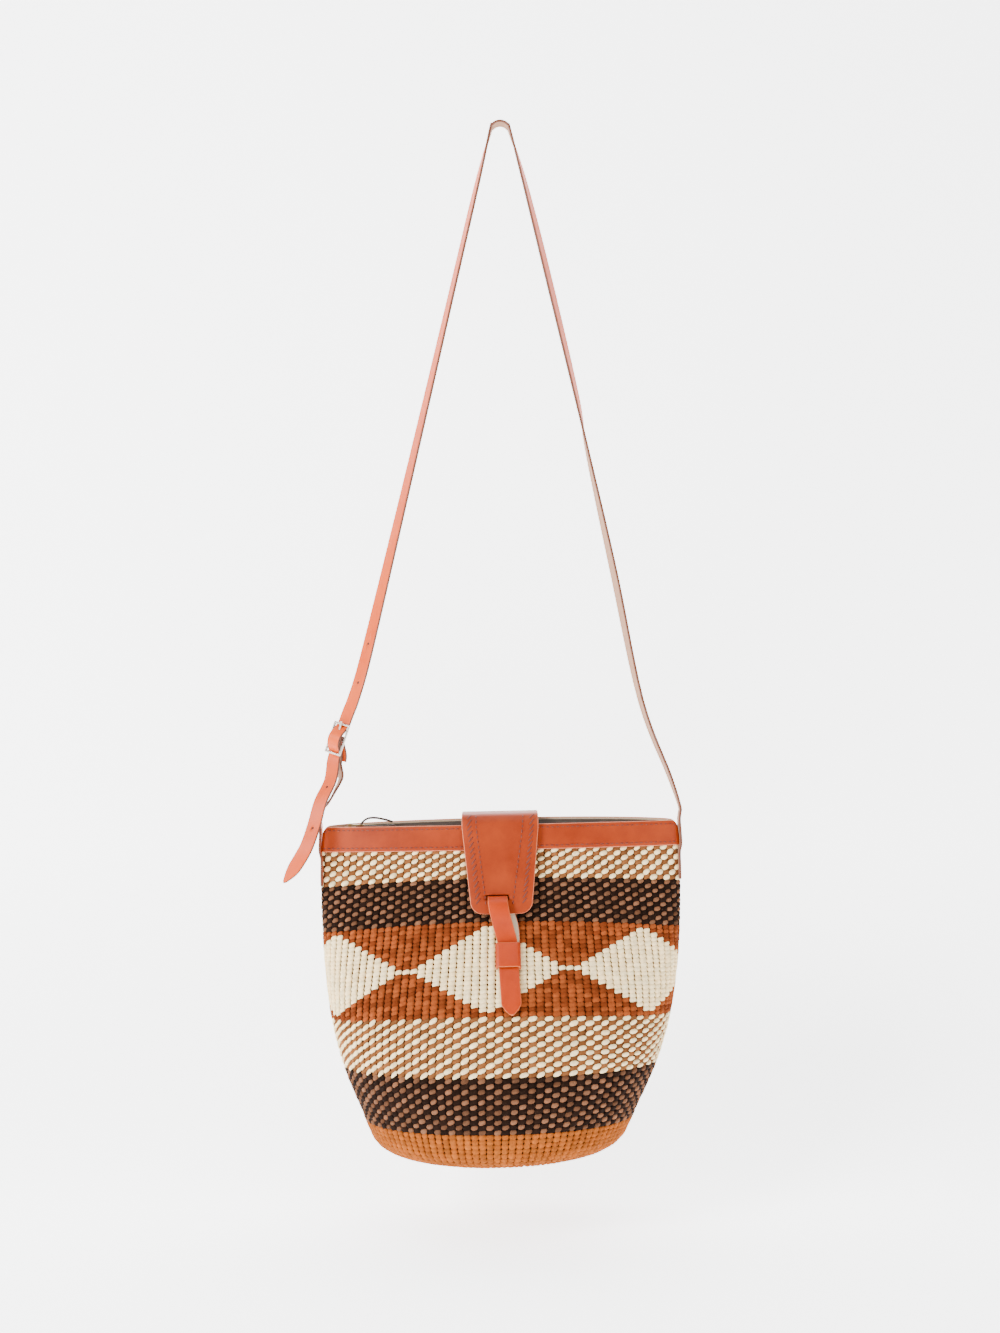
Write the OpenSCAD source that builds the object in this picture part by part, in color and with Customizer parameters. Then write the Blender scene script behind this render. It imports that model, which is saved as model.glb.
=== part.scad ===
// Woven crossbody bucket bag, hanging by its shoulder strap. Millimetres.
// The origin is the inside of the strap's bend, where it lies on a peg. +X is the wearer's-eye right
// of the front, -Y is the front (flap side) and +Z is up.

/* [Basket] */
// Height of the basket below the rim
body_h = 282; // [260:1:300]
// Half width of the flattened mouth
mouth_half_w = 156; // [140:1:165]
// Half depth of the flattened mouth
mouth_half_d = 17; // [15:0.5:20]
// Thickness of the woven wall
weave_t = 3; // [2:0.5:4]
// Thickness of the cotton lining
lining_t = 0.8; // [0.5:0.1:1.5]
// How far the soft base sags to the left
base_sag = 7; // [0:1:10]
// Tilt of the hanging bag, left end lower
bag_tilt = 1.2; // [0:0.1:2]

/* [Rim and flap] */
// Height of the leather rim band
band_h = 22; // [18:1:28]
// Thickness of the rim leather
band_t = 2; // [1.5:0.1:2.5]
// How much higher the back band stands at its middle
back_rise = 4.5; // [0:0.5:6]
// Width of the flap at the mouth
flap_top_w = 67; // [50:1:80]
// Width of the flap above its rounded corners
flap_low_w = 54; // [45:1:60]
// Thickness of the flap leather
flap_t = 2; // [1.5:0.1:2.2]
// Width of the tuck strap
tuck_w = 17; // [12:0.5:18]

/* [Zip] */
// Length of the rows of teeth
zip_len = 280; // [240:1:284]
// Where the slider rests, from the middle
slider_x = -133; // [-134:1:-110]

/* [Shoulder strap] */
// Distance from the peg to the rim
strap_drop = 633; // [620:1:640]
// Width of the strap
strap_w = 12.7; // [10:0.1:13]
// Thickness of the strap
strap_t = 2.2; // [1.8:0.1:2.4]
// Radius of the peg that the bend fits
peg_r = 8; // [6:0.5:9]
// Length of the part that is sewn down each side
side_tab = 52; // [40:1:60]

/* [Buckle] */
// Outside width of the buckle
buckle_w = 17.5; // [16:0.5:20]
// Outside length of the buckle
buckle_l = 29; // [27:0.5:31]
// Radius of its wire
wire_r = 1.1; // [0.9:0.1:1.2]

/* [Hidden] */
segs = 56;
fit = 0.2;
leather = [0.72, 0.32, 0.15];
strap_leather = [0.86, 0.52, 0.38];
metal = [0.75, 0.74, 0.7];

// Basket outline: [depth below the rim, half width, half depth]
stations = [[0, mouth_half_w, mouth_half_d], [45, mouth_half_w + 2.5, 26], [95, mouth_half_w + 1, 43],
    [140, mouth_half_w - 3, 67], [180, mouth_half_w - 10.5, 86], [215, 134, 95], [243, 121, 93],
    [body_h - 14, 110, 86], [body_h - 4, 98, 76], [body_h, 84, 65]];

function blend4(p0, p1, p2, p3, t) = 0.5 * (2 * p1 + (p2 - p0) * t
    + (2 * p0 - 5 * p1 + 4 * p2 - p3) * t * t + (3 * p1 - p0 - 3 * p2 + p3) * t * t * t);
// A smooth curve through the points p, in k steps a span
function curve(p, k) = let (n = len(p) - 1) concat([for (i = [0:n - 1], j = [0:k - 1])
    blend4(p[max(i - 1, 0)], p[i], p[i + 1], p[min(i + 2, n)], j / k)], [p[n]]);
function unit(v) = v / norm(v);
function slice(list, from, count) = [for (i = [0:count - 1]) list[from + i]];

outline = curve(stations, 2);
widths = [for (p = outline) [p[0], p[1]]];
depths = [for (p = outline) [p[0], p[2]]];
function half_w(s) = lookup(s, widths);
function half_d(s) = lookup(s, depths);

// A level section of the basket: pointed at the side seams near the mouth, an ellipse lower down
function point_at(s, a) = let (m = 1 + 0.5 * max(0, 1 - s / 90))
    [half_w(s) * cos(a), half_d(s) * sign(sin(a)) * pow(abs(sin(a)), m)];
function lean_at(s) = -base_sag * pow(max(s, 0) / body_h, 2);
function wall(s, a, off, z) = let (p = point_at(s, a), d = point_at(s, a + 1) - point_at(s, a - 1),
    q = p + off * unit([d[1], -d[0]])) [q[0] + lean_at(s), q[1], z];
function ring(s, off, n = segs) = [for (i = [0:n - 1]) wall(s, 360 * i / n, off, -s)];

// Places a shape drawn about the middle of the rim
module in_bag() {
    translate([0, 0, -strap_drop]) rotate([0, -bag_tilt, 0]) children();
}
function from_bag(p) = let (c = cos(bag_tilt), s = sin(bag_tilt))
    [p[0] * c - p[2] * s, p[1], p[0] * s + p[2] * c - strap_drop];

// Triangles between two rings of n points that start at a and b
function band_faces(a, b, n) = [for (i = [0:n - 1]) let (j = (i + 1) % n)
    each [[a + i, a + j, b + i], [a + j, b + j, b + i]]];
function flipped(faces) = [for (f = faces) [f[2], f[1], f[0]]];

// An open-topped shell between the wall at off_out and the wall at off_in, with a floor
function levels(top, low) = concat([top], [for (p = outline) if (p[0] > top + 4 && p[0] < low - 2) p[0]], [low]);
module shell(top, off_out, off_in, floor_out, floor_in) {
    n = segs;
    outer = [for (s = levels(top, body_h - floor_out)) ring(s, off_out)];
    inner = [for (s = levels(top, body_h - floor_in)) ring(s, off_in)];
    last = (len(outer) - 1) * n;
    m = len(outer) * n;
    deep = m + (len(inner) - 1) * n;
    polyhedron(concat([for (r = outer) each r], [for (r = inner) each r]),
        concat([for (k = [0:len(outer) - 2]) each band_faces(k * n, (k + 1) * n, n)],
            [for (k = [0:len(inner) - 2]) each flipped(band_faces(m + k * n, m + (k + 1) * n, n))],
            flipped(band_faces(0, m, n)),
            [[for (i = [0:n - 1]) last + i]],
            [[for (i = [n - 1:-1:0]) deep + i]]), convexity = 6);
}

// A closed solid through rings that all have the same number of points
module skin(rings) {
    n = len(rings[0]);
    last = len(rings) - 1;
    polyhedron([for (r = rings) each r],
        concat([for (k = [0:last - 1]) each flipped(band_faces(k * n, (k + 1) * n, n))],
            [[for (i = [0:n - 1]) i]], [[for (i = [n - 1:-1:0]) last * n + i]]), convexity = 10);
}

// A flat leather strip along a path. Each row of path is [x, y, z, wx, wy, wz]: a point and the way
// the strip's width runs there.
module strip(path, w, t) {
    n = len(path) - 1;
    skin([for (i = [0:n]) let (
        p = slice(path[i], 0, 3),
        along = unit(slice(path[min(i + 1, n)], 0, 3) - slice(path[max(i - 1, 0)], 0, 3)),
        raw = slice(path[i], 3, 3),
        across = unit(raw - (raw * along) * along) * w / 2,
        out = unit(cross(along, across)) * t / 2)
        [p + across + out, p - across + out, p - across - out, p + across - out]]);
}

// A rim band from angle a0 to a1 round the mouth
module rim_band(a0, a1, rise) {
    n = 30;
    skin([for (i = [0:n]) let (a = a0 + (a1 - a0) * i / n, top = rise * abs(sin(a)), low = -band_h)
        [wall(0, a, fit, top), wall(0, a, fit + band_t, top), wall(band_h / 2, a, fit + band_t, low / 2),
            wall(band_h, a, fit + band_t, low), wall(band_h, a, fit, low), wall(band_h / 2, a, fit, low / 2)]]);
}

module woven_body() color([0.72, 0.5, 0.32]) in_bag()
    shell(6.5, 0, -weave_t, 0, weave_t);
// The lining has a short tab at the middle of the front, where its hem is folded over
module lining() color([0.85, 0.8, 0.7]) in_bag() union() {
    shell(7.5, -weave_t - fit, -weave_t - fit - lining_t, weave_t + fit, weave_t + fit + lining_t);
    translate([-20, -half_d(7.5) + weave_t + fit + 0.4, -7.6]) cube([40, 0.3, 0.8]);
}
module rim_band_front() color(leather) in_bag() rim_band(181.5, 358.5, 0);
module rim_band_back() color(leather) in_bag() rim_band(1.5, 178.5, back_rise);

// Zip: each tape fills its half of the mouth, from the band to its row of teeth
tape_z = -2.5;
tape_t = 0.8;
teeth_in = 0.7;
teeth_out = 2.95;
module zip_tape(side) {
    n = 40;
    edge = [for (i = [0:n]) let (p = wall(0, 19 + 142 * i / n, 0.1, 0)) [p[0], p[1]]];
    translate([0, 0, tape_z - tape_t]) linear_extrude(tape_t) scale([1, side])
        polygon(concat(edge, [[edge[n][0], teeth_out + 0.1], [edge[0][0], teeth_out + 0.1]]));
}
module zip_teeth(side) {
    for (y = [side < 0 ? -teeth_out : teeth_in])
        translate([-zip_len / 2, y, -4.1]) cube([zip_len, teeth_out - teeth_in, 2.4]);
}
module zip_stop(side) {
    translate([side * (zip_len / 2 + 1.7) - 1.5, -2.6, -4.3]) cube([3, 5.2, 2.8]);
}
module zip_tape_front() color([0.12, 0.1, 0.09]) in_bag() mirror([0, 1, 0]) zip_tape(1);
module zip_tape_back() color([0.12, 0.1, 0.09]) in_bag() zip_tape(1);
module zip_teeth_front() color([0.2, 0.17, 0.14]) in_bag() zip_teeth(-1);
module zip_teeth_back() color([0.2, 0.17, 0.14]) in_bag() zip_teeth(1);
module zip_stop_left() color(metal) in_bag() zip_stop(-1);
module zip_stop_right() color(metal) in_bag() zip_stop(1);

// Slider: two plates joined by a thin post between the rows, with lugs and a cross pin for the pull
pull_z = 1.3;
module zip_slider() color(metal) in_bag() translate([slider_x, 0, 0]) {
    translate([-5, -4, -1.45]) cube([10, 8, 1.2]);
    translate([-5, -3.3, -5.6]) cube([10, 6.6, 1.25]);
    translate([-4, -0.35, -4.5]) cube([3, 0.7, 3.5]);
    for (y = [-1.9, 1.15]) translate([-1.5, y, -0.5]) cube([3, 0.75, pull_z + 1.9]);
    translate([0, -1.6, pull_z]) rotate([-90, 0, 0]) cylinder(h = 3.2, r = 0.6, $fn = 24);
}
module zip_pull_tab() color(metal) in_bag() translate([slider_x, 0, pull_z]) difference() {
    union() {
        rotate([90, 0, 0]) cylinder(h = 2, r = 1.3, center = true, $fn = 32);
        translate([0, -1, -0.45]) cube([3, 2, 0.9]);
        translate([2.4, -2.6, -0.45]) cube([10.4, 5.2, 0.9]);
    }
    rotate([90, 0, 0]) cylinder(h = 4, r = 0.66, center = true, $fn = 32);
    translate([9.6, 0, -1]) cylinder(h = 2, r = 1.75, $fn = 32);
}
// Thong: a narrow strip through the hole of the tab, its two ends lying together to the right
thong = [[38, 2.6], [31, 5.2], [23, 6.8], [16, 6.2], [11, 3.6], [9.6, 0.9], [10.3, -0.1], [13, -0.6],
    [20, -0.5], [29, -0.3], [40, -0.1]];
module zip_pull_thong() color(leather) in_bag() translate([slider_x, 0, 0])
    strip([for (p = curve(thong, 4)) [p[0], 0, p[1], 0, 1, 0]], 2.8, 1);

// Flap: its section runs from just above the hinge, over the mouth and down the front
hinge_y = 20.4;
hinge_z = 5;
panel_top = [-23, -2];
panel_low = [-42.2, -75];
flap_over = [[hinge_y, hinge_z + 1.2], [19.6, 8], [17, 9.3], [10, 9.7], [0, 9.5], [-12, 8.9], [-18, 7.4],
    [-21.4, 3.6], panel_top];
flap_lean = atan2(panel_top[0] - panel_low[0], panel_top[1] - panel_low[1]);
slot_z = -61.5;
slot_down = (panel_top[1] - slot_z) / cos(flap_lean);
flap_long = norm(panel_top - panel_low);
flap_dir = unit(panel_low - panel_top);
flap_corner = 11;
// Each row is [middle of the section, half width, direction down the flap]
function flap_rows() = let (path = curve(flap_over, 3), n = len(path) - 1, low = flap_low_w / 2 - flap_corner)
    concat([for (i = [0:n - 1]) [path[i], flap_top_w / 2, unit(path[i + 1] - path[max(i - 1, 0)])]],
        [for (d = [0, 0.5]) [panel_top + d * flap_dir * flap_long, (flap_top_w * (1 - d) + flap_low_w * d) / 2, flap_dir]],
        [for (a = [0:15:90]) [panel_top + (flap_long - flap_corner * (1 - sin(a))) * flap_dir,
            low + flap_corner * cos(a), flap_dir]]);
module flap() color(leather) in_bag() difference() {
    skin([for (r = flap_rows()) let (q = r[0], w = r[1], d = r[2] * flap_t / 2)
        [[-w, q[0] - d[1], q[1] + d[0]], [w, q[0] - d[1], q[1] + d[0]],
            [w, q[0] + d[1], q[1] - d[0]], [-w, q[0] + d[1], q[1] - d[0]]]]);
    translate([-3.4, panel_top[0] + flap_dir[0] * slot_down, slot_z]) rotate([-flap_lean, 0, 0])
        cube([tuck_w + 2.4, flap_t + 4, 4.8], center = true);
}
module flap_root() color(leather) in_bag()
    skin([for (q = [[20.7, hinge_z - 2.1], [21.3, 0], [25.8, -27]])
        [[-flap_top_w / 2, q[0] + 1, q[1]], [flap_top_w / 2, q[0] + 1, q[1]],
            [flap_top_w / 2, q[0] - 1, q[1]], [-flap_top_w / 2, q[0] - 1, q[1]]]]);

// Tuck strap: up behind the flap, out through its slot and down through the keeper.
// Each row is [x, y, z].
tuck = [[4.7, -60.4, -123], [4.7, -54.2, -111], [4.4, -48.3, -100], [2, -41.8, -85], [-1.5, -37.4, -73],
    [-3.2, -35.4, -65], [-3.4, -37, -61.6], [-3.4, -40.5, -60.8], [-3.4, -44.5, -61.5], [-3, -47.8, -66],
    [-1.4, -49.2, -75], [1.6, -49.4, -87], [4.4, -50.9, -99], [4.9, -56.8, -111], [5.2, -63, -122],
    [5.8, -69.4, -134], [6.4, -75, -145]];
module closure_strap() color(leather) in_bag() {
    rows = curve(tuck, 3);
    n = len(rows) - 1;
    point = [[6.7, -77.4, -150], [6.9, -79.6, -155]];
    strip([for (p = rows) concat(p, [1, 0, 0])], tuck_w, 1.9);
    skin([for (k = [0:1]) let (q = [rows[n], point[1]][k], w = [tuck_w, 3][k] / 2)
        [[q[0] + w, q[1] - 0.86, q[2] + 0.4], [q[0] - w, q[1] - 0.86, q[2] + 0.4],
            [q[0] - w, q[1] + 0.86, q[2] - 0.4], [q[0] + w, q[1] + 0.86, q[2] - 0.4]]]);
}
keeper_w = tuck_w + 4.4;
module closure_keeper() color(leather) in_bag() translate([4.7, -52, -111]) rotate([-29, 0, 0])
    translate([-keeper_w / 2, -8.4, -11]) difference() {
        cube([keeper_w, 8, 22]);
        translate([1.8, 1.8, -1]) cube([keeper_w - 3.6, 8, 24]);
    }

// Strap ends sewn down the sides: a rounded top round the swing axis, then flat on the seam
swing_z = 6;
side_off = fit + band_t + fit + strap_t / 2;
function side_path(side) = [for (q = [[swing_z, side_off], [0, side_off], [-band_h, side_off],
    [-band_h - 5, side_off - 0.8], [-40, side_off - 1.2], [-side_tab, side_off - 1.2]])
    [side * (half_w(max(0, -q[0])) + q[1]) + lean_at(-q[0]), 0, q[0], 0, 1, 0]];
module side_end(side) in_bag() {
    strip(side_path(side), strap_w, strap_t);
    translate([side * (mouth_half_w + side_off), 0, swing_z]) rotate([0, 90, 0])
        cylinder(h = strap_t, r = strap_w / 2, center = true, $fn = 48);
}
module strap_end() color(strap_leather) side_end(1);
module chape_end() color(strap_leather) side_end(-1);

// Buckle: the centre bar's middle, and how the buckle leans and turns
buckle_at = [-144.7, 0, -557.8];
buckle_lean = 18;
buckle_turn = -28;
module at_buckle() {
    translate(buckle_at) rotate([0, buckle_lean, 0]) rotate([0, 0, buckle_turn]) children();
}
function turned(v) = let (c = cos(buckle_turn), s = sin(buckle_turn), d = cos(buckle_lean),
    e = sin(buckle_lean), x = v[0] * c - v[1] * s, y = v[0] * s + v[1] * c)
    [x * d + v[2] * e, y, -x * e + v[2] * d];
bar = turned([-1, 0, 0]);
function on_buckle(x, y, z) = concat(buckle_at + turned([x, y, z]), bar);
// The width of the strip turned by an angle about the vertical, from front-to-back
function face(a) = [-sin(a), cos(a), 0];

bar_z = buckle_l / 2 - wire_r;
module buckle_frame() color(metal) at_buckle() {
    side_x = buckle_w / 2 - wire_r;
    for (x = [-side_x, side_x]) translate([x, 0, -bar_z]) cylinder(h = 2 * bar_z, r = wire_r, $fn = 32);
    for (z = [-bar_z, 0, bar_z]) translate([-side_x, 0, z]) rotate([0, 90, 0])
        cylinder(h = 2 * side_x, r = wire_r, $fn = 32);
    for (x = [-side_x, side_x], z = [-bar_z, bar_z]) translate([x, 0, z]) sphere(r = wire_r, $fn = 32);
}
prong_r = 0.9;
prong_lean = 9;
module buckle_prong() color(metal) at_buckle() {
    difference() {
        rotate([0, 90, 0]) cylinder(h = 2.2, r = wire_r + 1.1, center = true, $fn = 32);
        rotate([0, 90, 0]) cylinder(h = 3, r = wire_r + 0.1, center = true, $fn = 32);
    }
    rotate([prong_lean, 0, 0]) translate([0, 0, wire_r + 0.5]) cylinder(h = 14.4, r = prong_r, $fn = 32);
}

// Shoulder strap, from the right side up over the peg and down to the buckle. Each row is a point
// and the angle of its width.
strand_r = [[150.2, -590, 4], [125.5, -524, 12], [102, -410, 20], [78.5, -300, 4], [69, -250, -20],
    [43, -138, -28], [22, -52, -20]];
strand_l = [[-21.5, -58, 20], [-47.5, -172, 26], [-73.5, -286, 34], [-97, -388, 44], [-120, -486, 56],
    [-129.6, -520, 60]];
tail = [[-152.6, -6, -596, 66], [-159, -13, -612, 70], [-166.5, -17, -632, 74], [-176, -18, -656, 76],
    [-185.5, -18, -677, 76]];
mid_r = peg_r + strap_t / 2;
strap_start = from_bag([mouth_half_w + side_off, 0, swing_z + strap_w / 2 + 0.6]);
strap_path = concat([concat(strap_start, face(0))],
    [for (q = strand_r) concat([q[0], 0, q[1]], face(q[2]))],
    [for (a = [12:26:168]) concat([mid_r * cos(a), 0, mid_r * sin(a) - peg_r], face(0))],
    [for (q = strand_l) concat([q[0], 0, q[1]], face(q[2]))],
    [on_buckle(0.8, 2.3, 24), on_buckle(0, 2.6, bar_z), on_buckle(0, -0.6, 8.2), on_buckle(0, -4.2, 3),
        on_buckle(0, -4.9, -1), on_buckle(0, -3.4, -5.6), on_buckle(0, 0.9, -10.2), on_buckle(0.6, 2.9, -bar_z),
        on_buckle(1.4, 3, -20)],
    [for (q = tail) concat([q[0], q[1], q[2]], face(q[3]))]);
hole_pitch = 37.5;
module shoulder_strap() color(strap_leather) difference() {
    union() {
        strip(curve(strap_path, 5), strap_w, strap_t);
        strap_tip();
    }
    at_buckle() translate([-1.5, -8, 0.6]) cube([3, 13, 11.2]);
    for (q = concat([for (i = [1, 2]) strap_point(-1, i)], [for (i = [1, 2]) strap_point(1, i)]))
        translate(q[0]) rotate([90, 0, q[1]]) cylinder(h = 12, r = 1.3, center = true, $fn = 24);
}
// Holes above the buckle (way -1) and in the tail (way 1), counted from the one in use
function strap_point(way, i) = way < 0
    ? [[-126.5 + (i - 1) * 8.4, 0, -509 + (i - 1) * hole_pitch], 56]
    : [[-153.4 - (i - 1) * 13.6, -9 * i + 2, -598 - (i - 1) * (hole_pitch - 2.5)], 68];
module strap_tip() {
    q = [-185.5, -18, -677];
    w = face(76);
    down = unit([-0.4, 0, -0.92]);
    out = unit(cross(down, w)) * strap_t / 2;
    skin([for (k = [0:2]) let (c = q + down * [0, 5, 9][k], h = w * [strap_w, strap_w * 0.72, 3][k] / 2)
        [c + h + out, c - h + out, c - h - out, c + h - out]]);
}

// Chape: the turned-back end, the fold round the centre bar, and the long layer down to the bag
chape_t = 2;
fold_r = wire_r + 0.15 + chape_t / 2;
chape_start = from_bag([-mouth_half_w - side_off, 0, swing_z + strap_w / 2 + 0.6]);
chape_path = concat([on_buckle(4, 14, -20), on_buckle(2, 11, -15), on_buckle(0, 7.4, -9), on_buckle(0, 3.7, -3.6)],
    [for (a = [0:30:180]) on_buckle(0, fold_r * cos(a), fold_r * sin(a))],
    [on_buckle(0, -1.1, -4.2), on_buckle(0, 3.1, -8.6), on_buckle(1, 6.4, -15), on_buckle(2.2, 7.8, -22)],
    [concat([-141.5, 4.5, -591], face(36)), concat([-147, 3, -604], face(18)),
        concat([-155, 1, -615], face(4)), concat(chape_start, face(0))]);
module buckle_chape() color(strap_leather) difference() {
    strip(curve(chape_path, 4), strap_w, chape_t);
    at_buckle() translate([-1.5, -6, -2.6]) cube([3, 12, 8.8]);
}

woven_body();
lining();
rim_band_front();
rim_band_back();
zip_tape_front();
zip_tape_back();
zip_teeth_front();
zip_teeth_back();
zip_stop_left();
zip_stop_right();
zip_slider();
zip_pull_tab();
zip_pull_thong();
flap();
flap_root();
closure_strap();
closure_keeper();
shoulder_strap();
strap_end();
buckle_chape();
chape_end();
buckle_frame();
buckle_prong();
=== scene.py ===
import math

import bpy
import numpy as np
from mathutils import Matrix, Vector


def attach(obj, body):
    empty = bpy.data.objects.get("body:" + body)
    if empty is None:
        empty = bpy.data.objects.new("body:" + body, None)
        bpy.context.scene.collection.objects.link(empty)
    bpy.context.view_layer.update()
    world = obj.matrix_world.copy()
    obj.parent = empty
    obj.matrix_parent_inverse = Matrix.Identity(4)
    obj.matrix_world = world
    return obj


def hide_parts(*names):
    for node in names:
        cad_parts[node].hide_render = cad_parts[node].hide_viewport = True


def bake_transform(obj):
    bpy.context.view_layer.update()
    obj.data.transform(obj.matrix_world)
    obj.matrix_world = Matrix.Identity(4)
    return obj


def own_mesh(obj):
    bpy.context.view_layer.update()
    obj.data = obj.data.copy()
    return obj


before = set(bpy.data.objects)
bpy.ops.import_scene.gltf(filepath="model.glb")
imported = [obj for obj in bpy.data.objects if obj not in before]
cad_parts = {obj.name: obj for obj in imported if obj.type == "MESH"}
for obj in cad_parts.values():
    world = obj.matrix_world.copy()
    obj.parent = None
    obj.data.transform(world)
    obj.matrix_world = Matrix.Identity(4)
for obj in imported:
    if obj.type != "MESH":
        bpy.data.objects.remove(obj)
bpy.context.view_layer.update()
print("frame loaded")


# basket outline, in millimetres about the middle of the rim

basket = {
    "height": 282,
    "ribs": 105,
    "tilt": math.radians(1.2),
    "drop": 633,
    "sag": 7,
    "stations": [[0, 156, 17], [45, 158.5, 26], [95, 157, 43], [140, 153, 67], [180, 145.5, 86],
                 [215, 134, 95], [243, 121, 93], [268, 110, 86], [278, 98, 76], [282, 84, 65]],
}


def smoothPath(points, steps):
    p = np.array(points, float)
    p = np.vstack([p[:1], p, p[-1:]])
    out = []
    for i in range(1, len(p) - 2):
        a, b, c, d = p[i - 1], p[i], p[i + 1], p[i + 2]
        for k in range(steps):
            t = k / steps
            out.append(0.5 * (2 * b + (c - a) * t + (2 * a - 5 * b + 4 * c - d) * t * t
                              + (3 * b - a - 3 * c + d) * t ** 3))
    out.append(p[-2])
    return np.array(out)


def unit(v):
    v = np.asarray(v, float)
    return v / np.maximum(np.linalg.norm(v, axis=-1, keepdims=True), 1e-12)


def fromBag(p):
    p = np.asarray(p, float)
    c, s = math.cos(basket["tilt"]), math.sin(basket["tilt"])
    x, y, z = p[..., 0], p[..., 1], p[..., 2]
    return np.stack([x * c - z * s, y, x * s + z * c - basket["drop"]], -1) / 1000


outline = smoothPath(basket["stations"], 2)


def halfSizes(depth):
    return np.interp(depth, outline[:, 0], outline[:, 1]), np.interp(depth, outline[:, 0], outline[:, 2])


# A level section: points and outward normals at angles t (radians), offset by off
def sectionAt(depth, t, off=0.0):
    a, b = halfSizes(depth)
    m = 1 + 0.5 * np.maximum(0, 1 - np.asarray(depth, float) / 90)

    def at(u):
        s = np.sin(u)
        return np.stack([a * np.cos(u), b * np.sign(s) * np.abs(s) ** m], -1)

    p = at(t)
    d = at(t + 0.017) - at(t - 0.017)
    n = unit(np.stack([d[..., 1], -d[..., 0]], -1))
    p = p + np.asarray(off)[..., None] * n
    lean = -basket["sag"] * (np.maximum(depth, 0) / basket["height"]) ** 2
    return np.stack([p[..., 0] + lean, p[..., 1], -np.asarray(depth, float) * np.ones_like(t)], -1), n


# Angles that split the section at a depth into equal arc lengths
def ribAngles(depth, count):
    t = np.linspace(0, 2 * math.pi, 1441)
    p, _ = sectionAt(depth, t)
    run = np.concatenate([[0], np.cumsum(np.linalg.norm(np.diff(p, axis=0), axis=1))])
    return np.interp((np.arange(count) + 0.5) / count * run[-1], run, t)


# mesh builders

def meshObject(name, points, faces, smooth=True):
    mesh = bpy.data.meshes.new(name)
    mesh.from_pydata([tuple(map(float, p)) for p in points], [], faces)
    mesh.update()
    if smooth:
        mesh.shade_smooth()
    obj = bpy.data.objects.new(name, mesh)
    bpy.context.scene.collection.objects.link(obj)
    return obj


def addFloat(obj, name, values):
    layer = obj.data.attributes.new(name, "FLOAT", "POINT")
    layer.data.foreach_set("value", np.asarray(values, np.float32).ravel())


def addColour(obj, name, values):
    layer = obj.data.attributes.new(name, "FLOAT_COLOR", "POINT")
    values = np.asarray(values, np.float32)
    full = np.ones((len(values), 4), np.float32)
    full[:, :3] = values[:, :3]
    layer.data.foreach_set("color", full.ravel())


def addVector(obj, name, values):
    layer = obj.data.attributes.new(name, "FLOAT_VECTOR", "POINT")
    layer.data.foreach_set("vector", np.asarray(values, np.float32).ravel())


# Rings of equal length become one closed solid with a pole at each end
def closedRings(name, rings, poles=None):
    rings = np.asarray(rings, float)
    k, n = rings.shape[:2]
    ends = poles if poles is not None else [rings[0].mean(0), rings[-1].mean(0)]
    points = np.vstack([rings.reshape(-1, 3), [ends[0]], [ends[1]]])
    faces = []
    for r in range(k - 1):
        for i in range(n):
            j = (i + 1) % n
            faces.append((r * n + i, r * n + j, (r + 1) * n + j, (r + 1) * n + i))
    for i in range(n):
        j = (i + 1) % n
        faces.append((k * n, j, i))
        faces.append((k * n + 1, (k - 1) * n + i, (k - 1) * n + j))
    obj = meshObject(name, points, faces)
    outward(obj)
    return obj


# Turns the faces round if the closed mesh came out inside out
def outward(obj):
    mesh = obj.data
    co = np.empty(len(mesh.vertices) * 3)
    mesh.vertices.foreach_get("co", co)
    co = co.reshape(-1, 3)
    co = co - co.mean(0)
    mesh.calc_loop_triangles()
    tri = np.empty(len(mesh.loop_triangles) * 3, int)
    mesh.loop_triangles.foreach_get("vertices", tri)
    a, b, c = co[tri.reshape(-1, 3)].transpose(1, 0, 2)
    if np.einsum("ij,ij->", a, np.cross(b, c)) < 0:
        mesh.flip_normals()
        mesh.update()


# A leather strip: rows of centres, width directions, half widths; the attribute "cut" is 0 on the
# grain side, 1 on the cut edge and 2 on the flesh side
def ribbon(name, centres, across, half, thick, grainSide=1, scale=0.001, square=True):
    centres = np.asarray(centres, float)
    n = len(centres)
    half = np.ones(n) * half
    along = np.gradient(centres, axis=0)
    along = unit(along)
    across = np.asarray(across, float) * np.ones((n, 3))
    if square:
        across = across - np.sum(across * along, 1, keepdims=True) * along
    across = unit(across)
    out = unit(np.cross(along, across)) * grainSide
    h = thick / 2
    r = h * 0.75
    grid = np.linspace(-1, 1, 7)
    section = [(x, h, 0, 0) for x in grid]
    for q in (65, 35, 0, -35, -65):
        section.append((1, (h - r) * math.copysign(1, q) * (q != 0) + r * math.sin(math.radians(q)),
                        r * math.cos(math.radians(q)), 1))
    section += [(x, -h, 0, 2) for x in grid[::-1]]
    for q in (-65, -35, 0, 35, 65):
        section.append((-1, (h - r) * math.copysign(1, q) * (q != 0) + r * math.sin(math.radians(q)),
                        -r * math.cos(math.radians(q)), 1))
    rings = []
    cut = []
    order = list(range(n))
    first, last = order[0], order[-1]
    caps = [(first, 0.25), (first, 0.72)] + [(i, 1.0) for i in order[1:-1]] + [(last, 0.72), (last, 0.25)]
    shift = {0: 0.0, 1: r * 0.55, len(caps) - 2: -r * 0.55, len(caps) - 1: 0.0}
    for k, (i, f) in enumerate(caps):
        push = shift.get(k, 0.0)
        ring = []
        for x, z, e, c in section:
            w = max(half[i] - r, 0.05)
            sideways = x * w + e * (f if e else 1)
            ring.append(centres[i] + along[i] * push + across[i] * sideways + out[i] * z * f)
            cut.append(1 if f < 1 else c)
        rings.append(ring)
    rings = np.array(rings) * scale
    obj = closedRings(name, rings)
    addFloat(obj, "cut", cut + [1, 1])
    return obj


# shader maths

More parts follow.
